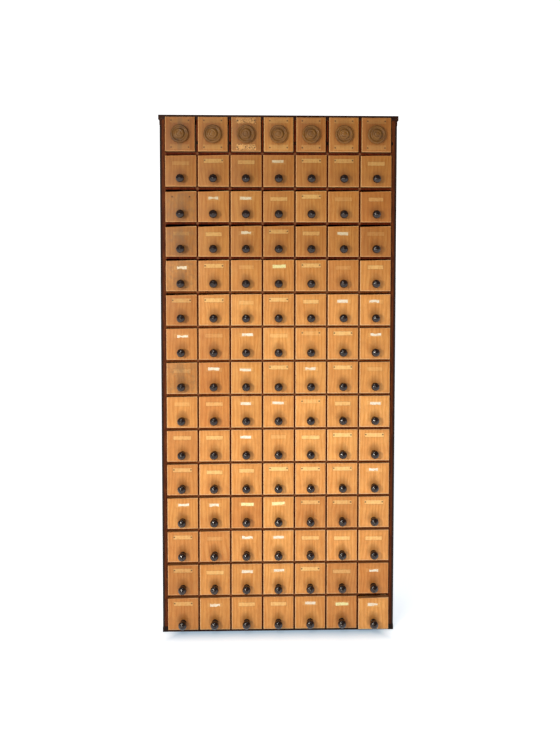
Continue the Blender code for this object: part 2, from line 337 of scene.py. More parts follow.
class Nodes:
    """A short way to write a node tree: each call adds a node and gives back its output."""

    def __init__(self, tree):
        self.tree = tree

    def add(self, kind, output=0, inputs=(), **settings):
        node = self.tree.nodes.new(kind)
        for name, value in settings.items():
            setattr(node, name, value)
        for socket, value in dict(inputs).items():
            self.feed(node.inputs[socket], value)
        return node.outputs[output]

    def feed(self, socket, value):
        if isinstance(value, bpy.types.NodeSocket):
            self.tree.links.new(value, socket)
        else:
            socket.default_value = value

    def math(self, operation, a, b=0.0, clamp=False):
        return self.add("ShaderNodeMath", inputs={0: a, 1: b}, operation=operation, use_clamp=clamp)

    def plus(self, a, b):
        return self.math("ADD", a, b)

    def minus(self, a, b):
        return self.math("SUBTRACT", a, b)

    def times(self, a, b):
        return self.math("MULTIPLY", a, b)

    def least(self, a, b):
        return self.math("MINIMUM", a, b)

    def most(self, a, b):
        return self.math("MAXIMUM", a, b)

    def absolute(self, a):
        return self.math("ABSOLUTE", a)

    def hypotenuse(self, a, b):
        return self.math("SQRT", self.plus(self.times(a, a), self.times(b, b)))

    def vector(self, operation, a, b):
        return self.add("ShaderNodeVectorMath", inputs={0: a, 1: b}, operation=operation)

    def split(self, vector):
        node = self.tree.nodes.new("ShaderNodeSeparateXYZ")
        self.feed(node.inputs[0], vector)
        return node.outputs[0], node.outputs[1], node.outputs[2]

    def combine(self, x, y, z):
        return self.add("ShaderNodeCombineXYZ", inputs={0: x, 1: y, 2: z})

    def noise(self, vector, scale, detail=3.0, roughness=0.55, output=0):
        inputs = {"Vector": vector, "Scale": scale, "Detail": detail, "Roughness": roughness}
        return self.add("ShaderNodeTexNoise", output, inputs)

    def ramp(self, value, low, high):
        """0 below low, 1 above high."""
        inputs = {"Value": value, "From Min": low, "From Max": high}
        return self.add("ShaderNodeMapRange", inputs=inputs, interpolation_type="SMOOTHSTEP")

    def fall(self, value, low, high):
        """1 below low, 0 above high."""
        return self.math("SUBTRACT", 1.0, self.ramp(value, low, high), clamp=True)

    def mix(self, factor, a, b, blend="MIX"):
        node = self.tree.nodes.new("ShaderNodeMix")
        node.data_type = "RGBA"
        node.blend_type = blend
        self.feed(node.inputs[0], factor)
        self.feed(node.inputs[6], a)
        self.feed(node.inputs[7], b)
        return node.outputs[2]

    def group(self, group, **inputs):
        node = self.tree.nodes.new("ShaderNodeGroup")
        node.node_tree = group
        for name, value in inputs.items():
            self.feed(node.inputs[name.replace("_", " ")], value)
        return node.outputs

    def bump(self, height, strength, distance):
        return self.add("ShaderNodeBump", inputs={"Strength": strength, "Distance": distance, "Height": height})

    def stored(self, name, output="Vector"):
        return self.add("ShaderNodeAttribute", output, attribute_name=name, attribute_type="GEOMETRY")

    def place(self):
        return self.add("ShaderNodeTexCoord", "Object")


def new_group(name, inputs, outputs):
    """A shader node group, with its inputs as {name: (kind, default)}. Gives the group, its builder, and its ends."""
    group = bpy.data.node_groups.new(name, "ShaderNodeTree")
    for label, (kind, default) in inputs.items():
        socket = group.interface.new_socket(label, in_out="INPUT", socket_type="NodeSocket" + kind)
        if default is not None:
            socket.default_value = default
    for label, kind in outputs.items():
        group.interface.new_socket(label, in_out="OUTPUT", socket_type="NodeSocket" + kind)
    entry = group.nodes.new("NodeGroupInput")
    leave = group.nodes.new("NodeGroupOutput")
    return group, Nodes(group), entry.outputs, leave.inputs


def new_material(name, roughness=0.5, **sockets):
    """A material with one Principled shader. Gives the material, its builder and the shader's inputs."""
    material = bpy.data.materials.new(name)
    material.use_nodes = True
    shader = material.node_tree.nodes["Principled BSDF"]
    shader.inputs["Roughness"].default_value = roughness
    for label, value in sockets.items():
        shader.inputs[label.replace("_", " ")].default_value = value
    return material, Nodes(material.node_tree), shader.inputs


def colour(red, green, blue):
    """A colour from its 0 to 255 screen values."""
    linear = [(v / 255 / 12.92) if v <= 10 else ((v / 255 + 0.055) / 1.055) ** 2.4 for v in (red, green, blue)]
    return (*linear, 1.0)


# ---------------------------------------------------------------- effects that several finishes share


def make_grain_group():
    """Wood grain running along Z. Streaks are fine lines, Figure is the broad cathedral bands, Flecks the pores."""
    group, n, given, out = new_group(
        "wood_grain",
        {"Vector": ("Vector", None), "Figure Scale": ("Float", 1.0)},
        {"Streaks": "Float", "Figure": "Float", "Flecks": "Float"},
    )
    along = n.vector("MULTIPLY", given["Vector"], (1.0, 1.0, 0.045))
    bend = n.noise(n.vector("MULTIPLY", given["Vector"], (1.0, 1.0, 0.35)), 9.0, 2.0, output="Color")
    bend = n.vector("MULTIPLY", n.vector("SUBTRACT", bend, (0.5, 0.5, 0.5)), (0.05, 0.05, 0.012))
    bent = n.vector("ADD", along, bend)
    n.feed(out["Streaks"], n.noise(bent, 330.0, 4.0, 0.6))
    rings = n.add(
        "ShaderNodeTexWave",
        "Fac",
        {
            "Vector": bent,
            "Scale": n.times(given["Figure Scale"], 22.0),
            "Distortion": 5.0,
            "Detail": 2.0,
            "Detail Scale": 1.6,
        },
        bands_direction="X",
    )
    n.feed(out["Figure"], rings)
    dashes = n.noise(n.vector("MULTIPLY", given["Vector"], (1.0, 1.0, 0.11)), 1300.0, 1.0)
    n.feed(out["Flecks"], n.ramp(dashes, 0.60, 0.72))
    return group


def make_wear_and_highlight_group():
    """Bare worn wood along the edges of a front, partly painted highlight: the band is widest along its left and
    bottom, the edges that face the light. Local is from its bottom centre.
    """
    group, n, given, out = new_group(
        "edge_wear_and_highlight",
        {"Local": ("Vector", None), "Size": ("Vector", None), "Width": ("Float", 0.002)},
        {"Wear And Highlight": "Float", "Side": "Float"},
    )
    x, y, z = n.split(given["Local"])
    half, _, height = n.split(given["Size"])
    left, right = n.plus(half, x), n.minus(half, x)
    top = n.minus(height, z)
    near = n.least(n.least(left, right), n.least(z, top))
    # painted highlight: the left and bottom edges keep their full band, while the right and top ones, as if in shade,
    # get a narrower one
    rubbed = n.least(left, z)
    shaded_sides = n.times(n.least(right, top), 2.5)
    rough = n.noise(given["Local"], 160.0, 3.0)
    reach = n.times(n.times(rough, 2.0), given["Width"])
    share = n.math("DIVIDE", n.least(rubbed, shaded_sides), n.most(reach, 1e-5))
    n.feed(out["Wear And Highlight"], n.fall(share, 0.35, 1.0))
    n.feed(out["Side"], n.ramp(near, 0.0, 0.016))
    return group


def make_patch_group():
    """A pale rectangle with soft ragged edges, and the darker line of dirt around it."""
    group, n, given, out = new_group(
        "pale_patch",
        {
            "Local": ("Vector", None),
            "Half Width": ("Float", 0.03),
            "Half Height": ("Float", 0.007),
            "Height": ("Float", 0.09),
            "Raggedness": ("Float", 0.0015),
        },
        {"Patch": "Float", "Rim": "Float"},
    )
    x, y, z = n.split(given["Local"])
    ragged = n.times(n.minus(n.noise(given["Local"], 230.0, 3.0), 0.5), 2.0)
    ragged = n.times(ragged, given["Raggedness"])
    side = n.minus(n.absolute(x), given["Half Width"])
    end = n.minus(n.absolute(n.minus(z, given["Height"])), given["Half Height"])
    beyond = n.plus(n.most(side, end), ragged)
    n.feed(out["Patch"], n.fall(beyond, -0.0006, 0.0006))
    rim = n.absolute(n.minus(beyond, 0.0008))
    n.feed(out["Rim"], n.fall(rim, 0.0002, 0.0016))
    return group


def make_nail_group():
    """Two round nail holes either side of the middle. Hole is 1 in them and Rust fades out around them."""
    group, n, given, out = new_group(
        "nail_holes",
        {"Local": ("Vector", None), "Half Spacing": ("Float", NAIL_SPREAD), "Height": ("Float", 0.1)},
        {"Hole": "Float", "Rust": "Float"},
    )
    x, y, z = n.split(given["Local"])
    dx = n.minus(n.absolute(x), given["Half Spacing"])
    dz = n.minus(z, given["Height"])
    away = n.hypotenuse(dx, dz)
    n.feed(out["Hole"], n.fall(away, 0.0012, 0.0019))
    n.feed(out["Rust"], n.fall(away, 0.0012, 0.0048))
    return group


def make_dirt_group():
    """Hand dirt around a handle, heavier above it, with a streak that can run down from above."""
    group, n, given, out = new_group(
        "hand_dirt",
        {
            "Local": ("Vector", None),
            "Height": ("Float", 0.03),
            "Radius": ("Float", 0.02),
            "Streak X": ("Float", 0.0),
            "Streak Width": ("Float", 0.0),
        },
        {"Halo": "Float", "Streak": "Float", "Blotch": "Float"},
    )
    x, y, z = n.split(given["Local"])
    cloud = n.noise(given["Local"], 55.0, 4.0, 0.6)
    dz = n.minus(z, given["Height"])
    dz = n.plus(n.times(n.most(dz, 0.0), 0.62), n.least(dz, 0.0))
    away = n.hypotenuse(x, dz)
    away = n.plus(away, n.times(n.minus(cloud, 0.5), 0.016))
    share = n.math("DIVIDE", away, given["Radius"])
    n.feed(out["Halo"], n.fall(share, 0.75, 1.9))
    off = n.absolute(n.minus(x, given["Streak X"]))
    off = n.plus(off, n.times(n.minus(cloud, 0.5), 0.01))
    inside = n.math("DIVIDE", off, n.most(given["Streak Width"], 1e-5))
    n.feed(out["Streak"], n.fall(inside, 0.5, 1.3))
    n.feed(out["Blotch"], n.noise(given["Local"], 21.0, 3.0, 0.5))
    return group


# ---------------------------------------------------------------- finishes


def make_front_varnish():
    """Honey varnish over beech-like wood, with the shadow of label holders, nail holes, dirt and worn edges, and
    painted light: a highlight along the left and bottom edges, shade on the side and top faces and in the nail holes.
    """
    material, n, shader = new_material("honey_varnish", Specular_IOR_Level=0.32)
    local = n.vector("SUBTRACT", n.place(), n.stored("home"))
    seeded = n.vector("ADD", local, n.stored("seed"))
    size, tone, dirt = n.stored("size"), n.stored("tone", "Color"), n.stored("tone", "Alpha")
    grain = n.group(GRAIN, Vector=seeded)
    halo_height, halo_radius, streak_strength = n.split(n.stored("dirt"))
    streak_x, streak_width, grey = n.split(n.stored("streak"))
    soil = n.group(
        DIRT,
        Local=seeded_local(n, local),
        Height=halo_height,
        Radius=halo_radius,
        Streak_X=streak_x,
        Streak_Width=streak_width,
    )

    wood = n.mix(grain["Figure"], colour(236, 161, 82), colour(220, 140, 62))
    streaks = n.ramp(grain["Streaks"], 0.36, 0.66)
    wood = n.mix(n.times(streaks, 0.42), wood, colour(246, 184, 110))
    wood = n.mix(n.times(grain["Flecks"], 0.30), wood, colour(150, 84, 36))
    blotch = n.ramp(soil["Blotch"], 0.35, 0.68)
    wood = n.mix(n.times(blotch, 0.30), wood, colour(196, 120, 56))
    wood = n.mix(1.0, wood, tone, "MULTIPLY")

    half_width, half_height, height = n.split(n.stored("patch"))
    patch_strength = n.stored("patch", "Alpha")
    patch = n.group(PATCH, Local=local, Half_Width=half_width, Half_Height=half_height, Height=height)
    low_width, low_half, low_height = n.split(n.stored("low_patch"))
    low_strength = n.stored("low_patch", "Alpha")
    low_patch = n.group(PATCH, Local=local, Half_Width=low_width, Half_Height=low_half, Height=low_height)
    worn_through = n.ramp(n.noise(seeded, 120.0, 3.0), 0.30, 0.55)
    pale = n.times(patch["Patch"], patch_strength)
    pale = n.most(pale, n.times(low_patch["Patch"], low_strength))
    pale = n.times(pale, n.plus(0.55, n.times(worn_through, 0.45)))
    bare = n.mix(1.0, n.mix(streaks, colour(255, 198, 118), colour(255, 214, 140)), tone, "MULTIPLY")
    bare = n.mix(0.14, bare, colour(250, 190, 130))
    rim = n.times(patch["Rim"], n.times(patch_strength, 0.35))
    wood = n.mix(rim, wood, colour(120, 66, 30))
    wood = n.mix(pale, wood, bare)

    flake_width, flake_height, flaking = n.split(n.stored("flaking"))
    around = {"Local": local, "Half_Width": flake_width, "Half_Height": flake_height, "Raggedness": 0.008}
    upper, lower = (n.group(PATCH, Height=at, **around)["Patch"] for at in (height, low_height))
    flaked = n.times(n.most(upper, lower), flaking)
    pits = n.noise(seeded, 135.0, 4.0, 0.65)
    wood = n.mix(n.times(flaked, n.ramp(pits, 0.36, 0.44)), wood, colour(226, 168, 98))
    specks = n.ramp(n.noise(seeded, 260.0, 3.0, 0.6), 0.55, 0.59)
    wood = n.mix(n.times(flaked, specks), wood, colour(58, 28, 12))

    halo = n.times(soil["Halo"], n.times(dirt, 0.62))
    wood = n.mix(halo, wood, colour(134, 78, 30))
    streak = n.times(soil["Streak"], streak_strength)
    wood = n.mix(n.times(streak, 0.55), wood, colour(124, 90, 54))
    veil = n.times(n.ramp(n.noise(seeded, 70.0, 4.0, 0.65), 0.42, 0.66), grey)
    wood = n.mix(n.times(veil, 0.55), wood, colour(124, 94, 60))

    half_spacing, nail_height, nail_strength = n.split(n.stored("nails"))
    nails = n.group(NAILS, Local=local, Half_Spacing=half_spacing, Height=nail_height)
    low_spacing, low_nail_height, low_nail_strength = n.split(n.stored("low_nails"))
    low_nails = n.group(NAILS, Local=local, Half_Spacing=low_spacing, Height=low_nail_height)
    hole = n.times(nails["Hole"], nail_strength)
    hole = n.most(hole, n.times(low_nails["Hole"], low_nail_strength))
    rust = n.times(nails["Rust"], nail_strength)
    rust = n.most(rust, n.times(low_nails["Rust"], low_nail_strength))

    # worn edges as lighter bare wood, partly real wear and partly painted highlight where the edges face the light
    wear_and_highlight = n.group(WEAR_AND_HIGHLIGHT, Local=local, Size=size, Width=0.0038)
    edge = n.mix(0.3, n.mix(1.0, colour(255, 214, 156), tone, "MULTIPLY"), colour(250, 190, 130))
    wood = n.mix(n.times(wear_and_highlight["Wear And Highlight"], 0.9), wood, edge)
    x, y, z = n.split(local)
    # painted shade: the faces behind a front's rounded edge, on its sides, top and bottom, are darkened, the top most,
    # to darken the gaps between fronts
    rounding = FRONT_EDGE_ROUND - FRONT_PROUD
    behind_face = n.ramp(y, rounding - 0.0004, rounding + 0.0012)
    on_top = n.ramp(n.minus(z, n.split(size)[2]), -0.0016, -0.0004)
    painted_face_shade = n.times(behind_face, n.plus(0.55, n.times(on_top, 0.3)))
    wood = n.mix(painted_face_shade, wood, colour(84, 44, 18))
    # colour drawn a quarter of the way towards a fixed mid brown within 16 mm of every edge
    edge_band = n.times(n.minus(1.0, wear_and_highlight["Side"]), 0.25)
    wood = n.mix(edge_band, wood, colour(190, 112, 52))
    wood = n.mix(n.times(rust, 0.65), wood, colour(74, 38, 18))
    # painted shade: the nail holes are not cut, so their depth is painted near black
    wood = n.mix(hole, wood, colour(14, 8, 5))
    n.feed(shader["Base Color"], wood)

    gloss = n.plus(0.40, n.times(grain["Streaks"], 0.18))
    gloss = n.plus(gloss, n.times(pale, 0.16))
    gloss = n.plus(gloss, n.times(wear_and_highlight["Wear And Highlight"], 0.12))
    n.feed(shader["Roughness"], gloss)
    relief = n.plus(n.times(grain["Streaks"], 0.12), n.times(grain["Flecks"], -0.2))
    relief = n.plus(relief, n.times(hole, -4.0))
    relief = n.plus(relief, n.times(rim, -0.5))
    n.feed(shader["Normal"], n.bump(relief, 0.5, 0.0004))
    return material


def seeded_local(n, local):
    """The local place, moved in depth only by the piece's own seed, so that clouds differ between fronts."""
    x, y, z = n.split(n.stored("seed"))
    return n.vector("ADD", local, n.combine(0.0, n.plus(x, z), 0.0))


def make_stained_wood(name, dark, light, worn, roughness, wear_scale=60.0, sideways=False, band=None):
    """Dark stained wood with rubbed lighter patches: its grain runs upright, or sideways along X.

    A band is (how far from the middle it starts, how deep it reaches): a darker strip down the outer front edge.
    """
    material, n, shader = new_material(name, Specular_IOR_Level=0.1)
    whole = n.place()
    x, y, z = n.split(whole)
    place = n.combine(z, y, x) if sideways else whole
    grain = n.group(GRAIN, Vector=place, Figure_Scale=0.8)
    wood = n.mix(n.ramp(grain["Streaks"], 0.35, 0.68), dark, light)
    wood = n.mix(n.times(grain["Figure"], 0.35), wood, dark)
    wood = n.mix(n.times(grain["Flecks"], 0.5), wood, colour(24, 10, 6))
    rubbed = n.ramp(n.noise(place, wear_scale, 4.0, 0.62), 0.56, 0.74)
    wood = n.mix(n.times(rubbed, 0.5), wood, worn)
    if band:
        start, depth = band
        waver = n.times(n.minus(n.noise(whole, 30.0), 0.5), 0.004)
        outer = n.ramp(n.plus(n.absolute(x), waver), start - 0.0008, start + 0.0008)
        shallow = n.fall(y, depth - 0.001, depth + 0.001)
        wood = n.mix(n.times(n.times(outer, shallow), 0.88), wood, colour(50, 24, 14))
    n.feed(shader["Base Color"], wood)
    n.feed(shader["Roughness"], n.plus(roughness, n.times(rubbed, 0.15)))
    relief = n.minus(n.times(grain["Streaks"], 0.3), n.times(grain["Flecks"], 0.4))
    n.feed(shader["Normal"], n.bump(relief, 0.25, 0.0005))
    return material


def make_bare_wood():
    """The unvarnished, dusty wood of the drawer boxes, their front end painted dark as the shade in the slot above a
    front.
    """
    material, n, shader = new_material("bare_box_wood")
    place = n.place()
    x, y, z = n.split(place)
    grain = n.group(GRAIN, Vector=n.combine(x, z, y), Figure_Scale=0.7)
    wood = n.mix(grain["Figure"], colour(206, 168, 118), colour(184, 142, 92))
    wood = n.mix(n.times(n.ramp(grain["Streaks"], 0.4, 0.7), 0.5), wood, colour(224, 190, 142))
    dust = n.ramp(n.noise(place, 34.0, 4.0), 0.42, 0.7)
    wood = n.mix(n.times(dust, 0.4), wood, colour(150, 122, 90))
    # painted shade: the box's front end, seen down the slot above a front, is darkened
    waver = n.times(n.noise(place, 60.0, 2.0), SLOT_SHADE_REACH)
    start = CELLS[0].front_y + FRONT_THICKNESS - FRONT_PROUD + SLOT_SHADE_REACH
    stained = n.fall(n.plus(y, waver), start, start + 0.003)
    wood = n.mix(n.times(stained, 0.85), wood, colour(70, 32, 12))
    n.feed(shader["Base Color"], wood)
    n.feed(shader["Roughness"], n.plus(0.62, n.times(grain["Streaks"], 0.2)))
    n.feed(shader["Normal"], n.bump(grain["Streaks"], 0.5, 0.0005))
    return material


def make_knob_lacquer():
    """Near-black brown lacquer, rubbed browner here and there, with fine scratches."""
    material, n, shader = new_material(
        "dark_knob_lacquer", Specular_IOR_Level=0.12, Coat_Weight=1.0, Coat_Roughness=0.24
    )
    place = n.place()
    rubbed = n.ramp(n.noise(place, 90.0, 3.0), 0.50, 0.72)
    lacquer = n.mix(n.times(rubbed, 0.55), colour(30, 13, 6), colour(66, 38, 24))
    n.feed(shader["Base Color"], lacquer)
    scuffs = n.noise(place, 420.0, 4.0)
    n.feed(shader["Roughness"], n.plus(0.12, n.times(scuffs, 0.2)))
    n.feed(shader["Normal"], n.bump(scuffs, 0.25, 0.0002))
    return material


def make_pull_varnish():
    """Turned end-grain-like wood of the wide pulls: rings round the axis, dirt in the cove, and painted shade round
    the foot of the rim.
    """
    material, n, shader = new_material("turned_pull_varnish", Specular_IOR_Level=0.35)
    local = n.vector("SUBTRACT", n.place(), n.stored("home"))
    x, y, z = n.split(local)
    radius = n.hypotenuse(x, z)
    seeded = n.vector("ADD", local, n.stored("seed"))
    lathe = n.noise(n.combine(radius, n.times(y, 0.5), 0.0), 700.0, 2.0)
    grain = n.group(GRAIN, Vector=seeded, Figure_Scale=0.6)
    wood = n.mix(n.times(grain["Figure"], 0.35), colour(150, 100, 40), colour(128, 80, 28))
    wood = n.mix(n.times(n.ramp(grain["Streaks"], 0.4, 0.66), 0.35), wood, colour(164, 112, 52))
    wood = n.mix(n.times(n.ramp(lathe, 0.45, 0.65), 0.25), wood, colour(120, 70, 28))
    # darker the nearer the surface lies to the front board: dirt in the cove and painted shade round the foot of the
    # rim
    depth = n.ramp(n.times(y, -1.0), 0.004, 0.0135)
    grime_and_shade = n.times(n.minus(1.0, depth), 0.25)
    wood = n.mix(grime_and_shade, wood, colour(92, 54, 22))
    hand = n.ramp(n.noise(seeded, 30.0, 4.0, 0.6), 0.38, 0.70)
    wood = n.mix(n.times(hand, n.stored("tone", "Alpha")), wood, colour(84, 50, 22))
    wood = n.mix(1.0, wood, n.stored("tone", "Color"), "MULTIPLY")
    n.feed(shader["Base Color"], wood)
    n.feed(shader["Roughness"], n.plus(0.34, n.times(hand, 0.2)))
    n.feed(shader["Normal"], n.bump(lathe, 0.35, 0.0003))
    return material


def make_paper(name, base, aged):
    """Old paper: yellowed in clouds, with brown glue showing through in faint smudges."""
    material, n, shader = new_material(name)
    place = n.place()
    cloud = n.ramp(n.noise(place, 75.0, 4.0, 0.6), 0.40, 0.70)
    paper = n.mix(n.times(cloud, 0.75), base, aged)
    smudge = n.ramp(n.noise(n.vector("MULTIPLY", place, (1.0, 1.0, 1.6)), 260.0, 3.0, 0.6), 0.54, 0.66)
    paper = n.mix(n.times(smudge, 0.6), paper, colour(196, 140, 96))
    paper = n.mix(1.0, paper, n.stored("tone", "Color"), "MULTIPLY")
    n.feed(shader["Base Color"], paper)
    n.feed(shader["Roughness"], n.plus(0.78, n.times(cloud, 0.12)))
    fibre = n.noise(place, 1500.0, 2.0)
    n.feed(shader["Normal"], n.bump(fibre, 0.2, 0.0001))
    return material


def make_lattice_wood(name, dark, light):
    """Dark stained lattice, its crossings painted lighter as if lit where the drawer corners leave them open."""
    material, n, shader = new_material(name, Specular_IOR_Level=0.06)
    place = n.place()
    grain = n.group(GRAIN, Vector=place, Figure_Scale=0.8)
    wood = n.mix(n.ramp(grain["Streaks"], 0.35, 0.68), dark, light)
    wood = n.mix(n.times(grain["Flecks"], 0.4), wood, colour(34, 8, 2))
    x, y, z = n.split(place)
    pitch_x, pitch_z = PITCH
    start_x, start_z = CROSSING
    near_x = n.math("PINGPONG", n.minus(x, start_x), pitch_x / 2)
    near_z = n.math("PINGPONG", n.minus(z, start_z), pitch_z / 2)
    away = n.most(near_x, near_z)
    # painted light: lighter round each crossing, near the front edge
    lit_crossing = n.fall(away, 0.0035, 0.0065)
    front = n.fall(y, CELLS[0].front_y + 0.001, CELLS[0].front_y + 0.004)
    wood = n.mix(n.times(n.times(lit_crossing, front), 0.6), wood, colour(138, 92, 60))
    n.feed(shader["Base Color"], wood)
    n.feed(shader["Roughness"], n.plus(0.5, n.times(grain["Streaks"], 0.2)))
    n.feed(shader["Normal"], n.bump(grain["Streaks"], 0.5, 0.0005))
    return material


# ---------------------------------------------------------------- drawers


def front_limits(cell):
    """Half width, lowest and highest point of a front, above its cell's floor."""
    gap = TOP_ROW_SIDE_GAP if cell.row == 1 else FRONT_SIDE_GAP
    half = (cell.high_x - cell.low_x) / 2 - gap
    low = -BOTTOM_LIP_DROP if cell.row == ROWS else FRONT_END_GAP + BOTTOM_TRIMS[cell.row - 1]
    high = cell.high_z - cell.low_z + (TOP_LIP_RISE if cell.row == 1 else -FRONT_END_GAP)
    return half, low, high


def front_shape(cell):
    """A front with eased edges. The top row's is lipped up over the top board, the bottom row's down."""
    half, low, high = front_limits(cell)
    face, back, lip = -FRONT_PROUD, FRONT_THICKNESS - FRONT_PROUD, -LIP_GAP
    inner_low, inner_high = max(low, FRONT_END_GAP), cell.high_z - cell.low_z - FRONT_END_GAP
    outline = [(face, low)]
    if cell.row == ROWS:
        outline += [(lip, low), (lip, inner_low)]
    outline += [(back, inner_low), (back, inner_high)]
    if cell.row == 1:
        outline += [(lip, inner_high), (lip, high)]
    outline.append((face, high))
    shape = bmesh.new()
    side = shape.faces.new([shape.verts.new((-half, y, z)) for y, z in outline])
    grown = bmesh.ops.extrude_face_region(shape, geom=[side])["geom"]
    far = [item for item in grown if isinstance(item, bmesh.types.BMVert)]
    bmesh.ops.translate(shape, verts=far, vec=(2 * half, 0, 0))
    left_trim, right_trim = cell.top_trims
    for vert in shape.verts:
        if vert.co.z > inner_high - TINY:
            vert.co.z -= left_trim if vert.co.x < 0 else right_trim
    bmesh.ops.recalc_face_normals(shape, faces=shape.faces)
    rim = [e for e in shape.edges if all(abs(v.co.y - face) < TINY for v in e.verts)]
    round_edges(shape, rim, FRONT_EDGE_ROUND, 3)
    bmesh.ops.translate(shape, verts=shape.verts, vec=(cell.front_x, cell.rest_y, cell.low_z))
    return shape


def label_shape(cell, width, height, middle, torn):
    """A scrap of paper on a front, with torn edges, a little lifted from the wood."""
    rng = cell.random
    shape = bmesh.new()
    columns, rows = 16, 5
    bmesh.ops.create_grid(shape, x_segments=columns, y_segments=rows, size=0.5)
    bites = [(rng.uniform(-0.5, 0.5), rng.choice((-0.5, 0.5)), rng.uniform(0.15, 0.55)) for _ in range(torn)]
    for vert in shape.verts:
        u, v = vert.co.x, vert.co.y
        edge_u, edge_v = abs(u) > 0.499, abs(v) > 0.499
        nibble = rng.uniform(0.0, 0.10) if edge_v else 0.0
        for at, side, deep in bites:
            if v * side > 0:
                nibble += deep * max(0.0, 1 - abs(u - at) / 0.22)
        v *= 1 - min(nibble, 0.6)
        u -= math.copysign(rng.uniform(0.0, 0.02), u) if edge_u else 0
        lift = 0.0001 + 0.0005 * max(abs(u) * 2, abs(v) * 2) ** 4 * rng.uniform(0.2, 1.0)
        vert.co = (u * width, -lift, v * height)
    bmesh.ops.recalc_face_normals(shape, faces=shape.faces)
    bmesh.ops.solidify(shape, geom=shape.faces[:], thickness=0.00012)
    bmesh.ops.recalc_face_normals(shape, faces=shape.faces)
    tilt = Matrix.Rotation(math.radians(rng.uniform(-2.5, 2.5)), 4, "Y")
    shift = (cell.middle_x + rng.uniform(-0.004, 0.004), cell.rest_y - FRONT_PROUD, middle)
    bmesh.ops.transform(shape, matrix=Matrix.Translation(shift) @ tilt, verts=shape.verts)
    return shape


def front_marks(cell):
    """The values that the front's material reads, from its letters in TRACES and TONES."""
    rng = cell.random
    half, low, high = front_limits(cell)
    height = high - low - sum(cell.top_trims) / 2
    trace = TRACES[cell.row - 1][cell.column - 1]
    tone = TONES[cell.row - 1][cell.column - 1]
    faint = 0.45 if trace.islower() else 1.0
    lightness = ROW_LIGHTNESS[cell.row - 1] * COLUMN_LIGHTNESS[cell.column - 1] * rng.uniform(0.95, 1.05)
    marks = {
        "home": (cell.front_x, cell.rest_y, cell.low_z + low),
        "size": (half, 0, height),
        "seed": (rng.uniform(0, 3), rng.uniform(0, 3), rng.uniform(0, 3)),
        "tone": (*[c * lightness**depth for c, depth in zip(TONE_COLOURS[tone], BROWNING)], rng.uniform(0.5, 0.9)),
        "patch": NO_PATCH,
        "low_patch": NO_PATCH,
        "nails": (NAIL_SPREAD, 0.0, 0.0),
        "low_nails": (NAIL_SPREAD, 0.0, 0.0),
        "dirt": (KNOB_HEIGHT, KNOB_DIRT, 0.0),
        "streak": (0.0, 0.0, 0.5 if tone == "g" else 0.08),
        "flaking": (0.0, 0.0, 0.0),
    }
    if cell.row == 1:
        marks["dirt"] = (height / 2, PULL_DIRT, 0.0)
        marks["patch"] = (HOLDER_HALF_WIDTH, PLATE_HALF_HEIGHT, height - PLATE_DROP, PLATE_PALENESS)
        marks["low_patch"] = (HOLDER_HALF_WIDTH, PLATE_HALF_HEIGHT, PLATE_RISE, PLATE_PALENESS)
        marks["flaking"] = (HOLDER_HALF_WIDTH, 0.010, 1.0 if cell.column == 3 else rng.uniform(0.0, 0.12))
        if cell.column == 1:
            marks["dirt"] = (height / 2, 0.036, 0.8)
            marks["streak"] = (0.0, 0.010, 0.2)
        marks["nails"] = (NAIL_SPREAD, height - PLATE_DROP, 1.0)
        marks["low_nails"] = (NAIL_SPREAD, PLATE_RISE - 0.001, 1.0)
    elif trace in "Nn":
        marks["patch"] = (HOLDER_HALF_WIDTH, 0.0075, height - HOLDER_DROP, 0.85 * faint)
        marks["nails"] = (NAIL_SPREAD, height - NAIL_DROP + rng.uniform(-0.001, 0.001), 1.0)
    elif trace in "Pp":
        width = rng.uniform(0.027, 0.034)
        marks["patch"] = (width, 0.007, height - PATCH_DROP + rng.uniform(-0.003, 0.003), 0.8 * faint)
    elif trace == "H":
        marks["nails"] = (NAIL_SPREAD, height - NAIL_DROP, 1.0)
    else:
        marks["patch"] = (rng.uniform(0.026, 0.031), 0.008, height - PAPER_DROP, 0.25)
    if tone == "g" and cell.row > 1:
        marks["dirt"] = (KNOB_HEIGHT, GREY_DIRT, 0.5)
        marks["streak"] = (rng.uniform(-0.006, 0.002), 0.015, 0.7)
    return marks


def make_front(cell):
    front = new_piece(f"front_{cell.name}", front_shape(cell), FINISH["front"], smooth_angle=40)
    mark(front, **front_marks(cell))
    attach(front, cell.body)
    return front


def make_label(cell):
    trace = TRACES[cell.row - 1][cell.column - 1]
    if trace not in "WwYy" or cell.row == 1:
        return
    rng = cell.random
    half, low, high = front_limits(cell)
    width = rng.uniform(0.040, 0.045) if trace == "W" else rng.uniform(0.034, 0.042)
    height = rng.uniform(0.010, 0.0125)
    if trace in "Yy":
        width, height = rng.uniform(0.048, 0.052), 0.013
    middle = cell.low_z + high - sum(cell.top_trims) / 2 - PAPER_DROP + rng.uniform(-0.003, 0.003)
    shape = label_shape(cell, width, height, middle, 5 if trace == "w" else 1)
    label = new_piece(f"label_{cell.name}", shape, FINISH["yellow_paper" if trace in "Yy" else "white_paper"])
    # painted shade: each label is darkened with its row's lightness
    light = 0.15 + 0.85 * min(ROW_LIGHTNESS[cell.row - 1], 1.0)
    mark(label, tone=(light**0.8, 0.97 * light, 0.92 * light**1.5, 1.0))
    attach(label, cell.body)


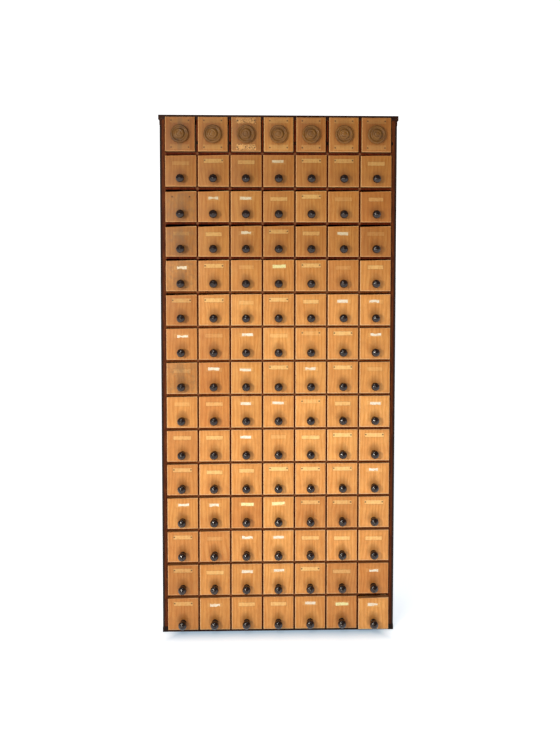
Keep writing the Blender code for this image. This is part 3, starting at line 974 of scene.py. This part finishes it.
def tray_shape(cell):
    """The open box behind a front."""
    half = (cell.high_x - cell.low_x) / 2 - TRAY_SIDE_GAP
    start = cell.rest_y + FRONT_THICKNESS - FRONT_PROUD
    floor = cell.low_z + TRAY_FLOOR_GAP
    rim = floor + TRAY_HEIGHT
    shape = block((cell.middle_x - half, start, floor), (cell.middle_x + half, start + TRAY_LENGTH, rim))
    top = max(shape.faces, key=lambda face: face.calc_center_median().z)
    bmesh.ops.inset_region(shape, faces=[top], thickness=TRAY_WALL, use_even_offset=True)
    inside = bmesh.ops.extrude_discrete_faces(shape, faces=[top])["faces"][0]
    bmesh.ops.translate(shape, verts=inside.verts, vec=(0, 0, TRAY_BOTTOM - TRAY_HEIGHT))
    rims = [e for e in shape.edges if min(v.co.z for v in e.verts) > rim - 10 * TINY]
    round_edges(shape, rims, TRAY_EDGE_ROUND, 1)
    return shape


def knob_profile():
    """Radius and distance out of the front: foot, hollowed neck, round head, and a groove round the tip."""
    foot = [(0.0118, 0.0), (0.0121, 0.0012), (0.0114, 0.0025)]
    neck = [(0.0092, 0.0050), (0.0084, 0.0080), (0.0088, 0.0105)]
    head = arc((0.0, 0.0205), (0.0160, 0.0118), -42, 68, 9)
    tip = [(0.0055, 0.0318), (0.0050, 0.0311), (0.0044, 0.0316), (0.0022, 0.0325), (0.0, 0.0327)]
    return foot + neck + head + tip


def pull_profile():
    """A disc with a rounded rim, a hollowed ring, and a boss with a turned line near its middle."""
    rim = [(0.0285, 0.0), (0.0300, 0.0020)] + arc((0.0290, 0.0080), (0.0050, 0.0055), -40, 110, 7)
    cove = arc((0.0225, 0.0132), (0.0042, 0.0030), -20, -150, 6)
    boss = [(0.0178, 0.0140)] + arc((0.0120, 0.0150), (0.0058, 0.0045), 10, 90, 4)
    middle = [(0.0100, 0.0192), (0.0094, 0.0186), (0.0086, 0.0193), (0.0040, 0.0199), (0.0, 0.0200)]
    return rim + cove + boss + middle


def knob_shape(cell):
    half, low, high = front_limits(cell)
    tip = Vector((cell.middle_x, cell.rest_y - FRONT_PROUD, cell.low_z + low + KNOB_HEIGHT))
    return turned(knob_profile(), KNOB_SIDES, tip)


def make_pull(cell):
    half, low, high = front_limits(cell)
    rng = cell.random
    tip = Vector((cell.front_x, cell.rest_y - FRONT_PROUD, cell.low_z + (low + high) / 2))
    pull = new_piece(f"pull_{cell.name}", turned(pull_profile(), PULL_SIDES, tip), FINISH["pull"], smooth_angle=50)
    seed = (rng.uniform(0, 3), rng.uniform(0, 3), rng.uniform(0, 3))
    tone = rng.uniform(0.68, 0.84) * (0.85 if cell.column == 1 else 1.0)
    mark(pull, home=tuple(tip), seed=seed, tone=(tone, tone, tone, 0.75 if cell.column == 1 else 0.45))
    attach(pull, cell.body)


def make_shared(kind, finish, cells, shape_of, smooth_angle=None):
    """The boxes or the knobs of the drawers that slide as one body, as one piece."""
    body = cells[0].body
    shape = joined([shape_of(cell) for cell in cells])
    piece = new_piece(body.replace("drawer", kind), shape, FINISH[finish], smooth_angle=smooth_angle)
    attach(piece, body)
    return piece


def make_drawers():
    bodies = {}
    for cell in CELLS:
        bodies.setdefault(cell.body, []).append(cell)
    for body, cells in bodies.items():
        fronts = [make_front(cell) for cell in cells]
        for cell in cells:
            make_label(cell)
        trays = make_shared("box", "bare", cells, tray_shape)
        if cells[0].row == 1:
            make_pull(cells[0])
        else:
            knobs = make_shared("knob", "knob", cells, knob_shape, smooth_angle=60)
        if (cells[0].row, cells[0].column) == AJAR_DRAWER:
            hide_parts(f"{body}_front")
            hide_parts(f"{body}_box")
            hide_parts(f"{body}_knob")
        else:
            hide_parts(body)


# ---------------------------------------------------------------- carcass


def make_board(name, finish, width):
    low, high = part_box(name)
    board = new_piece(f"{name}_finished", rounded_block(low, high, width), finish, smooth_angle=40)
    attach(board, "carcass")
    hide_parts(name)


def make_side(name, side):
    """A side board with the stopped chamfer down its outer front edge."""
    low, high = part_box(name)
    shape = block(low, high)
    start, end = low.z + CHAMFER_STOP, high.z - CHAMFER_STOP
    for height in (start, end):
        cut = shape.verts[:] + shape.edges[:] + shape.faces[:]
        bmesh.ops.bisect_plane(shape, geom=cut, plane_co=(0, 0, height), plane_no=(0, 0, 1))
    outer = high.x if side > 0 else low.x
    chamfered = [
        e for e in shape.edges
        if all(abs(v.co.x - outer) < TINY and abs(v.co.y - low.y) < TINY for v in e.verts)
        and start < sum(v.co.z for v in e.verts) / 2 < end
    ]
    round_edges(shape, chamfered, CHAMFER_WIDTH, 1)
    for face in shape.faces:
        slanted = min(abs(face.normal.x), abs(face.normal.y)) > 0.1
        if slanted or face.calc_center_median().z < start:
            face.material_index = 1
    board = new_piece(f"{name}_finished", shape, FINISH["frame"], FINISH["edge"], smooth_angle=20)
    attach(board, "carcass")
    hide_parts(name)


def make_carcass():
    make_side("left_side", -1)
    make_side("right_side", 1)
    make_board("top_board", FINISH["cap"], BOARD_EDGE_ROUND)
    make_board("bottom_board", FINISH["cap"], BOTTOM_EDGE_ROUND)
    make_board("back_panel", FINISH["panel"], BACK_EDGE_ROUND)
    # painted light: the dividers and the top four shelves take the darker, shaded copy of the lattice stain, the lower
    # shelves the lighter, lit copy
    for i in range(1, COLUMNS):
        finish_node(f"divider_{i}", FINISH["divider"])
    for i in range(1, ROWS):
        finish_node(f"shelf_{i:02d}", FINISH["divider" if i <= 4 else "shelf"])


def make_catch_hole(name, x, z, front_y):
    """A small upright oval hole in the front edge of a board, with a worn rim: it is not cut, its shade is painted on
    a thin near-black disc.
    """
    rim = [(0.0030, 0.0), (0.0030, 0.0005), (0.0028, 0.0007), (0.0025, 0.0002), (0.0, 0.0002)]
    shape = turned(rim, CATCH_SIDES, Vector((0, 0, 0)))
    bmesh.ops.scale(shape, vec=(1.0, 1.0, 2.0), verts=shape.verts)
    bmesh.ops.translate(shape, vec=(x, front_y, z), verts=shape.verts)
    hole = new_piece(name, shape, FINISH["hole"], smooth_angle=40)
    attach(hole, "carcass")


def make_catch_holes():
    cell = CELLS[0]
    height = cell.low_z + CATCH_HEIGHT
    for i in CATCH_DIVIDERS:
        low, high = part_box(f"divider_{i}")
        make_catch_hole(f"catch_hole_{i}", (low.x + high.x) / 2, height, low.y)
    low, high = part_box("right_side")
    make_catch_hole("catch_hole_right", low.x + CATCH_INSET, height, low.y)


def finish_node(name, finish):
    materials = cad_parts[name].data.materials
    materials.clear()
    materials.append(finish)


# ---------------------------------------------------------------- stage


def make_stage():
    shape = bmesh.new()
    bmesh.ops.create_grid(shape, x_segments=1, y_segments=1, size=FLOOR_REACH)
    floor = new_piece("floor", shape)
    material, n, shader = new_material("pale_floor", roughness=0.8, Emission_Strength=FLOOR_GLOW)
    low, high = cad_box
    x, y, z = n.split(n.place())
    # painted shadow: the floor's colour and glow turn bluish grey round the cabinet's foot
    beside = n.minus(n.absolute(x), high.x - PAINTED_SHADOW_INSET[0])
    before = n.minus(n.absolute(y), high.y - PAINTED_SHADOW_INSET[1])
    painted_shadow = n.fall(n.most(beside, before), *PAINTED_SHADOW_FADE)
    n.feed(shader["Base Color"], n.mix(painted_shadow, (0.62, 0.60, 0.57, 1), (0.30, 0.42, 0.55, 1)))
    n.feed(shader["Emission Color"], n.mix(painted_shadow, (0.86, 0.93, 1.0, 1), (0.20, 0.29, 0.38, 1)))
    floor.data.materials.append(material)


def make_world():
    """A backdrop that lights the cabinet from behind, a dimmer room in front, and white wherever it is seen itself."""
    world = bpy.data.worlds.new("studio")
    bpy.context.scene.world = world
    world.use_nodes = True
    n = Nodes(world.node_tree)
    x, y, z = n.split(n.add("ShaderNodeTexCoord", "Generated"))
    backdrop = n.ramp(y, 0.05, 0.55)
    strength = n.plus(n.times(backdrop, BACKDROP_LIGHT - ROOM_LIGHT), ROOM_LIGHT)
    seen = n.add("ShaderNodeLightPath", "Is Camera Ray")
    strength = n.most(strength, n.times(seen, BACKDROP_LIGHT))
    background = world.node_tree.nodes["Background"]
    background.inputs["Color"].default_value = (1.0, 1.0, 1.0, 1)
    n.feed(background.inputs["Strength"], strength)


def add_lamp(name, place, aim, power, tint, spread):
    lamp = bpy.data.lights.new(name, "AREA")
    lamp.shape = "DISK"
    lamp.size = LAMP_SIZE
    lamp.energy = power
    lamp.color = tint
    lamp.spread = math.radians(spread)
    holder = bpy.data.objects.new(name, lamp)
    bpy.context.scene.collection.objects.link(holder)
    holder.location = place
    holder.rotation_euler = (Vector(aim) - Vector(place)).to_track_quat("-Z", "Y").to_euler()


def make_lights():
    add_lamp("window_light", (-1.9, -2.9, 1.7), (0.12, -0.15, 0.55), power=15.2, tint=(1.0, 0.96, 0.86), spread=85)
    add_lamp("ceiling_light", (-0.6, -2.0, 3.0), (0.0, -0.6, 0.2), power=9.4, tint=(1.0, 1.0, 0.98), spread=150)


def make_camera():
    data = bpy.data.cameras.new("camera")
    data.lens = CAMERA_LENS
    data.sensor_width = 36
    data.shift_x, data.shift_y = CAMERA_SHIFT
    camera = bpy.data.objects.new("camera", data)
    bpy.context.scene.collection.objects.link(camera)
    down, roll, aside = CAMERA_TURN
    camera.location = CAMERA_PLACE
    camera.rotation_euler = (math.pi / 2 + down, roll, aside)
    bpy.context.scene.camera = camera


make_camera()
CELLS = read_cells()
PITCH = (CELLS[1].middle_x - CELLS[0].middle_x, CELLS[0].low_z - CELLS[COLUMNS].low_z)
CROSSING = (CELLS[0].high_x + (CELLS[1].low_x - CELLS[0].high_x) / 2, (CELLS[0].low_z + CELLS[COLUMNS].high_z) / 2)
SIDE_BAND = (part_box("right_side")[1].x - BAND_WIDTH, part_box("right_side")[0].y + BAND_DEPTH)
GRAIN = make_grain_group()
WEAR_AND_HIGHLIGHT = make_wear_and_highlight_group()
PATCH = make_patch_group()
NAILS = make_nail_group()
DIRT = make_dirt_group()
FINISH = {
    "front": make_front_varnish(),
    "frame": make_stained_wood(
        "stained_side", colour(70, 28, 8), colour(116, 56, 16), colour(136, 80, 34), 0.62, band=SIDE_BAND
    ),
    "edge": make_stained_wood("dark_side_edge", colour(22, 11, 6), colour(46, 25, 15), colour(78, 50, 33), 0.5),
    "cap": make_stained_wood(
        "stained_cap", colour(40, 19, 10), colour(68, 35, 18), colour(92, 58, 36), 0.5, sideways=True
    ),
    # painted shade: the near-black finish of the catch holes
    "hole": make_stained_wood("painted_hole_shade", colour(3, 1, 1), colour(9, 4, 3), colour(18, 9, 6), 0.8),
    "panel": make_stained_wood(
        "aged_back_panel", colour(112, 72, 42), colour(150, 102, 62), colour(128, 92, 62), 0.65, 20.0
    ),
    # painted light: one lattice stain in a shaded copy and a lighter, lit copy
    "divider": make_lattice_wood("shaded_lattice_stain", colour(64, 15, 1), colour(108, 38, 4)),
    "shelf": make_lattice_wood("lit_lattice_stain", colour(84, 34, 6), colour(128, 66, 20)),
    "bare": make_bare_wood(),
    "knob": make_knob_lacquer(),
    "pull": make_pull_varnish(),
    "white_paper": make_paper("white_label_paper", colour(255, 248, 232), colour(250, 216, 180)),
    "yellow_paper": make_paper("yellow_label_paper", colour(255, 250, 192), colour(244, 228, 152)),
}
make_carcass()
make_catch_holes()
make_drawers()
make_stage()
make_world()
make_lights()
bpy.context.scene.view_settings.view_transform = "Standard"
